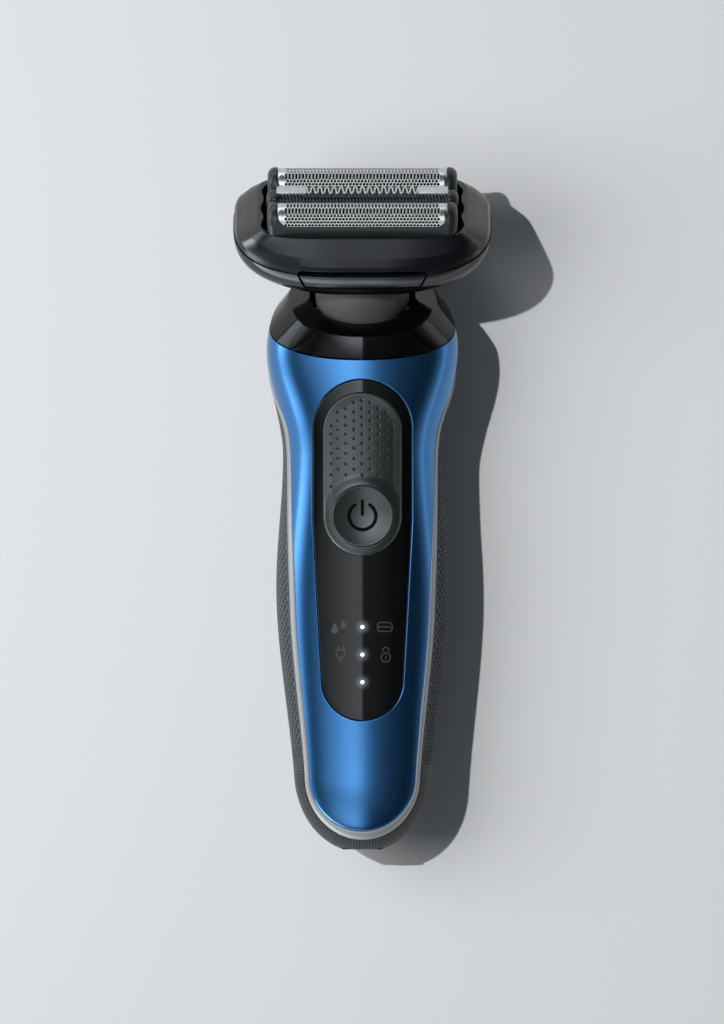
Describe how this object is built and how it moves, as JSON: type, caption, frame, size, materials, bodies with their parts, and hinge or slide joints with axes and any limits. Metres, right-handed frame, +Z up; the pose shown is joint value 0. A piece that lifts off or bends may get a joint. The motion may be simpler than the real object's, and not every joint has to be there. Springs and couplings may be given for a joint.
{
  "type": "electric shaver",
  "caption": "Cordless foil shaver on its back: rubber-gripped handle with a push button and lights, and a rocking head with a lift-off cassette of floating foils and a trimmer.",
  "frame": {"origin": "middle of the outline at the surface that the shaver lies on", "axes": "+Z up from the back to the control panel, +Y from the charging socket to the head, +X across to the right hand side seen from above"},
  "size_m": [0.0608, 0.161, 0.0453],
  "materials": {
    "blue_lacquer": "metallic blue lacquer on moulded plastic, satin gloss",
    "satin_silver": "satin silver lacquer on a moulded trim",
    "grip_rubber": "grey moulded rubber with fine dimples",
    "gloss_black": "gloss black moulded plastic",
    "satin_black": "satin blue-black moulded plastic",
    "soft_touch": "dark grey soft-touch coat",
    "neck_grey": "matte warm grey plastic",
    "steel": "machined and stamped steel",
    "foil_steel": "bright thin stainless steel, etched and stamped",
    "contact_brass": "plated contact metal",
    "board_green": "green solder mask on glass-fibre board",
    "battery_wrap": "cell in a green shrink sleeve",
    "light_white": "clear light guide, lit white"
  },
  "bodies": {
    "handle": {"front_shell": "blue_lacquer", "trim_ring": "satin_silver", "rear_shell": "satin_black", "grip": "grip_rubber", "control_panel": "gloss_black", "thumb_pad": "soft_touch", "collar": "gloss_black", "charging_socket": "satin_black", "socket_pin_left": "contact_brass", "socket_pin_right": "contact_brass", "socket_seal": "grip_rubber", "inner_chassis": "satin_black", "chassis_screw_1": "steel", "chassis_screw_2": "steel", "circuit_board": "board_green", "battery": "battery_wrap", "battery_contact_minus": "contact_brass", "battery_contact_plus": "contact_brass", "motor": "steel", "shaft_seal": "grip_rubber", "tact_switch": "satin_black", "light_guide_1": "light_white", "light_guide_2": "light_white", "light_guide_3": "light_white", "pitch_pin_left": "steel", "pitch_pin_right": "steel"},
    "button": {"power_button": "soft_touch"},
    "rotor": {"motor_shaft": "steel", "eccentric": "steel"},
    "gimbal": {"gimbal_ring": "steel", "roll_pin_front": "steel", "roll_pin_rear": "steel"},
    "head": {"neck": "neck_grey", "neck_screw_1": "steel", "neck_screw_2": "steel", "lever_pin": "steel", "head_base": "satin_black", "release_spring": "steel"},
    "lever": {"drive_lever": "steel"},
    "bridge": {"drive_bridge": "steel"},
    "release": {"release_bar": "satin_black"},
    "cassette": {"cassette_frame": "satin_black", "front_spring_left": "steel", "front_spring_right": "steel", "middle_spring_left": "steel", "middle_spring_right": "steel", "rear_spring_left": "steel", "rear_spring_right": "steel"},
    "front_float": {"front_foil_carrier": "satin_black", "front_foil": "foil_steel"},
    "trimmer_float": {"trimmer_carrier": "satin_black", "trimmer_comb": "foil_steel"},
    "rear_float": {"rear_foil_carrier": "satin_black", "rear_foil": "foil_steel"},
    "front_blades": {"front_cutter": "steel"},
    "trimmer_blades": {"middle_blade": "steel"},
    "rear_blades": {"rear_cutter": "steel"}
  },
  "joints": [
    {"name": "button_press", "type": "slide", "parent": "handle", "child": "button", "axis": [0, 0, -1], "range_m": [0, 0.0006], "stiffness_N_per_m": 900},
    {"name": "motor_spin", "type": "hinge", "parent": "handle", "child": "rotor", "pos_m": [0, 0.04597, 0.0172], "axis": [0, 1, 0], "continuous": true},
    {"name": "head_pitch", "type": "hinge", "parent": "handle", "child": "gimbal", "pos_m": [0, 0.04597, 0.0172], "axis": [1, 0, 0], "range_deg": [-8, 8], "stiffness_Nm_per_rad": 0.8},
    {"name": "head_roll", "type": "hinge", "parent": "gimbal", "child": "head", "pos_m": [0, 0.04597, 0.0172], "axis": [0, 0.5592, -0.829], "range_deg": [-8, 8], "stiffness_Nm_per_rad": 0.8},
    {"name": "bridge_stroke", "type": "slide", "parent": "head", "child": "bridge", "axis": [1, 0, 0], "range_m": [-0.0012, 0.0012]},
    {"name": "lever_swing", "type": "hinge", "parent": "head", "child": "lever", "pos_m": [0, 0.04813, 0.01866], "axis": [0, 0.5592, -0.829], "range_deg": [-4.6, 4.6]},
    {"name": "release_press", "type": "slide", "parent": "head", "child": "release", "axis": [0, 0.5592, -0.829], "range_m": [0, 0.001], "stiffness_N_per_m": 700, "deforming": ["release_spring"]},
    {"name": "cassette_lift", "type": "slide", "parent": "head", "child": "cassette", "axis": [0, 0.829, 0.5592], "range_m": [0, 0.02]},
    {"name": "front_float_travel", "type": "slide", "parent": "cassette", "child": "front_float", "axis": [0, -0.829, -0.5592], "range_m": [0, 0.0022], "stiffness_N_per_m": 350, "deforming": ["front_spring_left", "front_spring_right"]},
    {"name": "trimmer_float_travel", "type": "slide", "parent": "cassette", "child": "trimmer_float", "axis": [0, -0.829, -0.5592], "range_m": [0, 0.0022], "stiffness_N_per_m": 350, "deforming": ["middle_spring_left", "middle_spring_right"]},
    {"name": "rear_float_travel", "type": "slide", "parent": "cassette", "child": "rear_float", "axis": [0, -0.829, -0.5592], "range_m": [0, 0.0022], "stiffness_N_per_m": 350, "deforming": ["rear_spring_left", "rear_spring_right"]},
    {"name": "front_stroke", "type": "slide", "parent": "front_float", "child": "front_blades", "axis": [1, 0, 0], "range_m": [-0.0012, 0.0012]},
    {"name": "trimmer_stroke", "type": "slide", "parent": "trimmer_float", "child": "trimmer_blades", "axis": [1, 0, 0], "range_m": [-0.0012, 0.0012]},
    {"name": "rear_stroke", "type": "slide", "parent": "rear_float", "child": "rear_blades", "axis": [1, 0, 0], "range_m": [-0.0012, 0.0012]}
  ],
  "couplings": [
    {"joint": "lever_swing", "follows": "bridge_stroke", "rad_per_m": 65.041},
    {"joint": "front_stroke", "follows": "bridge_stroke", "ratio": 1},
    {"joint": "trimmer_stroke", "follows": "bridge_stroke", "ratio": 1},
    {"joint": "rear_stroke", "follows": "bridge_stroke", "ratio": 1}
  ]
}
